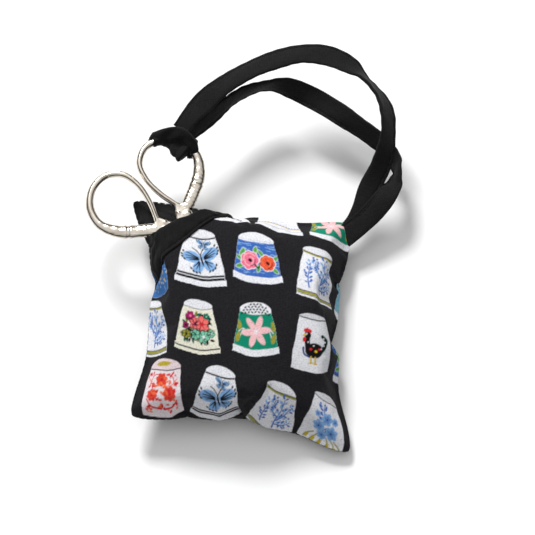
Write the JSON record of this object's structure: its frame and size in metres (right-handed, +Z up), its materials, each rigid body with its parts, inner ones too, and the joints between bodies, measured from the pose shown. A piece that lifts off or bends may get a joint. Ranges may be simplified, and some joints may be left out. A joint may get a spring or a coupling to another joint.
{
  "type": "pin cushion",
  "caption": "Square stuffed pin cushion with a bound corner pocket holding embroidery scissors, tied on by a looped fabric strap girth-hitched to one bow.",
  "frame": {"origin": "middle of the flat patch that the cushion rests on", "axes": "+Z up from the table, +Y towards the edge where the strap leaves the cushion, +X along the cushion's width"},
  "size_m": [0.1178, 0.1514, 0.034],
  "materials": {
    "black_cotton": "plain woven cotton, matt",
    "printed_cotton": "woven cotton printed with small porcelain shapes on black",
    "black_tape": "folded and edge-stitched cotton tape",
    "stuffing": "packed fibre",
    "thread": "spun sewing thread",
    "nickel_steel": "polished, slightly warm nickel plate"
  },
  "bodies": {
    "cushion": {"back_panel": "black_cotton", "filling": "stuffing", "base_panel": "black_cotton", "pocket_panel": "printed_cotton", "pocket_binding": "black_tape", "seam_thread": "thread", "strap_upper_run": "black_tape", "strap_lower_run": "black_tape"},
    "scissors": {"scissor_half_right": "nickel_steel", "pivot_screw": "nickel_steel", "strap_hitch": "black_tape"},
    "left_half": {"scissor_half_left": "nickel_steel"}
  },
  "joints": [
    {"name": "scissors_draw", "type": "slide", "parent": "cushion", "child": "scissors", "axis": [-0.6691, 0.7431, 0], "range_m": [0, 0.062], "deforming": ["strap_upper_run", "strap_lower_run"]},
    {"name": "scissors_open", "type": "hinge", "parent": "scissors", "child": "left_half", "pos_m": [-0.0214, 0.0271, 0.0232], "axis": [0, 0, 1], "range_deg": [0, 35]}
  ]
}
